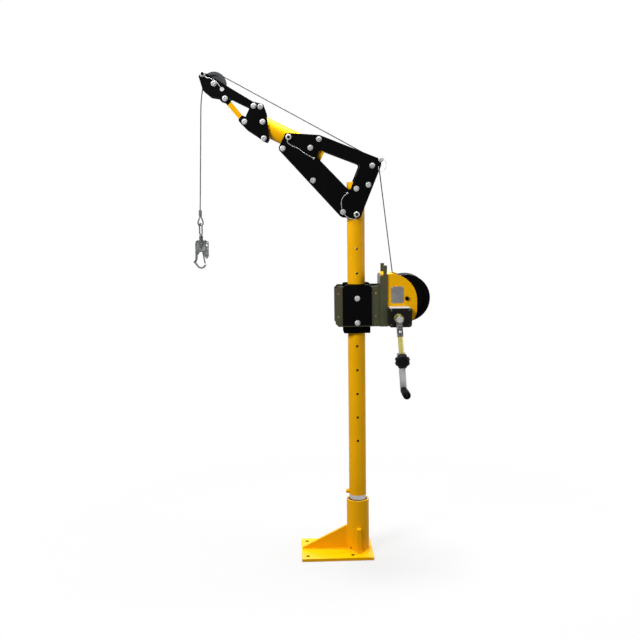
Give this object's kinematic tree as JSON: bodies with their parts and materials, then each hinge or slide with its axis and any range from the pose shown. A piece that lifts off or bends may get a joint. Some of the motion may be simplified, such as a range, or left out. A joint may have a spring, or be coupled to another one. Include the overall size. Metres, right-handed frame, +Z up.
{
  "type": "davit crane",
  "caption": "Floor-mounted davit crane: a turning mast in a bolted socket, a raised boom with rope sheaves, a hand winch with a brake, and a swivel snap hook.",
  "frame": {"origin": "on the mast's turning axis, at the underside of the base plate", "axes": "+Z up along the mast, the boom points to -X, the winch is on the +X side and its crank faces -Y"},
  "size_m": [0.9725, 0.3525, 2.0245],
  "materials": {
    "yellow_paint": "satin safety-yellow powder coat",
    "black_paint": "satin black powder coat",
    "olive_zinc": "olive chromate over zinc",
    "zinc_steel": "bright zinc",
    "bare_steel": "machined steel, lightly oiled",
    "gold_zinc": "yellow chromate over zinc",
    "wire_rope": "galvanised strand",
    "bronze": "sintered bronze",
    "black_plastic": "moulded, lightly textured",
    "grey_nylon": "moulded nylon",
    "hook_steel": "forged and plated"
  },
  "bodies": {
    "base": {"base_plate": "yellow_paint", "socket_tube": "yellow_paint", "base_gusset": "yellow_paint", "socket_ribs": "yellow_paint", "socket_bush": "black_plastic"},
    "tip_sheave": {"tip_sheave": "grey_nylon", "tip_sheave_bush": "bronze"},
    "rear_sheave": {"rear_sheave": "grey_nylon", "rear_sheave_bush": "bronze"},
    "drum": {"drum": "black_paint", "drum_gear": "black_paint", "rope_winding": "wire_rope"},
    "crank": {"pinion_shaft": "bare_steel", "crank_hub": "gold_zinc", "crank_nut": "zinc_steel", "crank_knuckle": "zinc_steel", "crank_tube": "gold_zinc"},
    "crank_bar": {"crank_bar": "zinc_steel"},
    "clamp_knob": {"clamp_knob": "black_plastic"},
    "crank_grip": {"crank_grip": "black_plastic"},
    "brake_pawl": {"brake_pawl": "bare_steel"},
    "boom_pin": {"boom_pin": "zinc_steel"},
    "mast_pin": {"mast_pin": "zinc_steel"},
    "tip_keeper_pin": {"tip_keeper_pin": "zinc_steel"},
    "hook_block": {"hanging_rope": "wire_rope", "rope_ferrule": "wire_rope", "thimble": "hook_steel", "swivel_eye": "hook_steel"},
    "hook": {"hook_body": "hook_steel", "hook_pins": "zinc_steel"},
    "hook_gate": {"hook_gate": "hook_steel"},
    "lock_lever": {"lock_lever": "hook_steel"},
    "mast": {"boom_rope": "wire_rope", "boom_spacers": "zinc_steel", "boom_tube": "yellow_paint", "bracket_plates": "black_paint", "bracket_sleeve": "black_plastic", "carrier_plates": "olive_zinc", "crank_bearing": "bronze", "drum_shaft": "black_paint", "frame_plate_front": "black_paint", "frame_plate_rear": "black_paint", "gear_cover": "black_paint", "head_plate_front": "black_paint", "head_plate_rear": "black_paint", "head_post": "yellow_paint", "head_struts": "black_paint", "keeper_loop": "wire_rope", "knuckle_plate_front": "black_paint", "knuckle_plate_rear": "black_paint", "mast_spigot": "bare_steel", "mast_tube": "yellow_paint", "pin_lanyards": "wire_rope", "ratchet_wheel": "bare_steel", "sheave_axles": "zinc_steel", "through_bolts": "zinc_steel", "turning_stud": "yellow_paint", "winch_channel": "olive_zinc", "winch_side_front": "yellow_paint", "winch_side_rear": "yellow_paint"}
  },
  "joints": [
    {"name": "mast_swivel", "type": "hinge", "parent": "base", "child": "mast", "pos_m": [0, 0, 0.2], "axis": [0, 0, 1], "continuous": true},
    {"name": "drum_spin", "type": "hinge", "parent": "mast", "child": "drum", "pos_m": [0.205, 0, 1.105], "axis": [0, 1, 0], "range_deg": [-552, 1587]},
    {"name": "crank_spin", "type": "hinge", "parent": "mast", "child": "crank", "pos_m": [0.16287, 0, 1.03233], "axis": [0, 1, 0], "range_deg": [-6494.3, 2260.2]},
    {"name": "tip_sheave_spin", "type": "hinge", "parent": "mast", "child": "tip_sheave", "pos_m": [-0.56397, 0, 1.97598], "axis": [0, 1, 0], "range_deg": [-1492.1, 520.3]},
    {"name": "rear_sheave_spin", "type": "hinge", "parent": "mast", "child": "rear_sheave", "pos_m": [0.065, 0, 1.647], "axis": [0, 1, 0], "range_deg": [-2147.3, 748.2]},
    {"name": "hook_hoist", "type": "slide", "parent": "mast", "child": "hook_block", "axis": [0, 0, 1], "range_m": [-1.152, 0.402], "deforming": ["hanging_rope"]},
    {"name": "hook_swivel", "type": "hinge", "parent": "hook_block", "child": "hook", "pos_m": [-0.6365, 0, 1.3555], "axis": [0, 0, 1], "continuous": true},
    {"name": "gate_hinge", "type": "hinge", "parent": "hook", "child": "hook_gate", "pos_m": [-0.6335, 0, 1.3155], "axis": [0, 1, 0], "range_deg": [0, 22], "stiffness_Nm_per_rad": 0.1, "springref_deg": -17.19},
    {"name": "lever_hinge", "type": "hinge", "parent": "hook", "child": "lock_lever", "pos_m": [-0.6215, 0, 1.3215], "axis": [0, 1, 0], "range_deg": [0, 12], "stiffness_Nm_per_rad": 0.1, "springref_deg": -17.19},
    {"name": "crank_slide", "type": "slide", "parent": "crank", "child": "crank_bar", "axis": [-0.0685, 0, 0.9976], "range_m": [0, 0.06]},
    {"name": "knob_turn", "type": "hinge", "parent": "crank", "child": "clamp_knob", "pos_m": [0.17469, -0.131, 0.86033], "axis": [0, 1, 0], "continuous": true},
    {"name": "grip_spin", "type": "hinge", "parent": "crank_bar", "child": "crank_grip", "pos_m": [0.18328, -0.131, 0.73523], "axis": [0, 1, 0], "continuous": true},
    {"name": "pawl_hinge", "type": "hinge", "parent": "mast", "child": "brake_pawl", "pos_m": [0.20687, 0, 1.04433], "axis": [0, 1, 0], "range_deg": [0, 8], "stiffness_Nm_per_rad": 0.1, "springref_deg": -17.19},
    {"name": "boom_pin_pull", "type": "slide", "parent": "mast", "child": "boom_pin", "axis": [0, -1, 0], "range_m": [0, 0.11], "deforming": ["pin_lanyards"]},
    {"name": "mast_pin_pull", "type": "slide", "parent": "mast", "child": "mast_pin", "axis": [0, -1, 0], "range_m": [0, 0.11], "deforming": ["pin_lanyards"]},
    {"name": "tip_keeper_pin_pull", "type": "slide", "parent": "mast", "child": "tip_keeper_pin", "axis": [0, -1, 0], "range_m": [0, 0.11], "deforming": ["pin_lanyards"]}
  ],
  "couplings": [
    {"joint": "crank_spin", "follows": "drum_spin", "ratio": -4.0909},
    {"joint": "tip_sheave_spin", "follows": "drum_spin", "ratio": -0.93891},
    {"joint": "rear_sheave_spin", "follows": "drum_spin", "ratio": -1.3518},
    {"joint": "hook_hoist", "follows": "drum_spin", "m_per_rad": -0.0415}
  ]
}
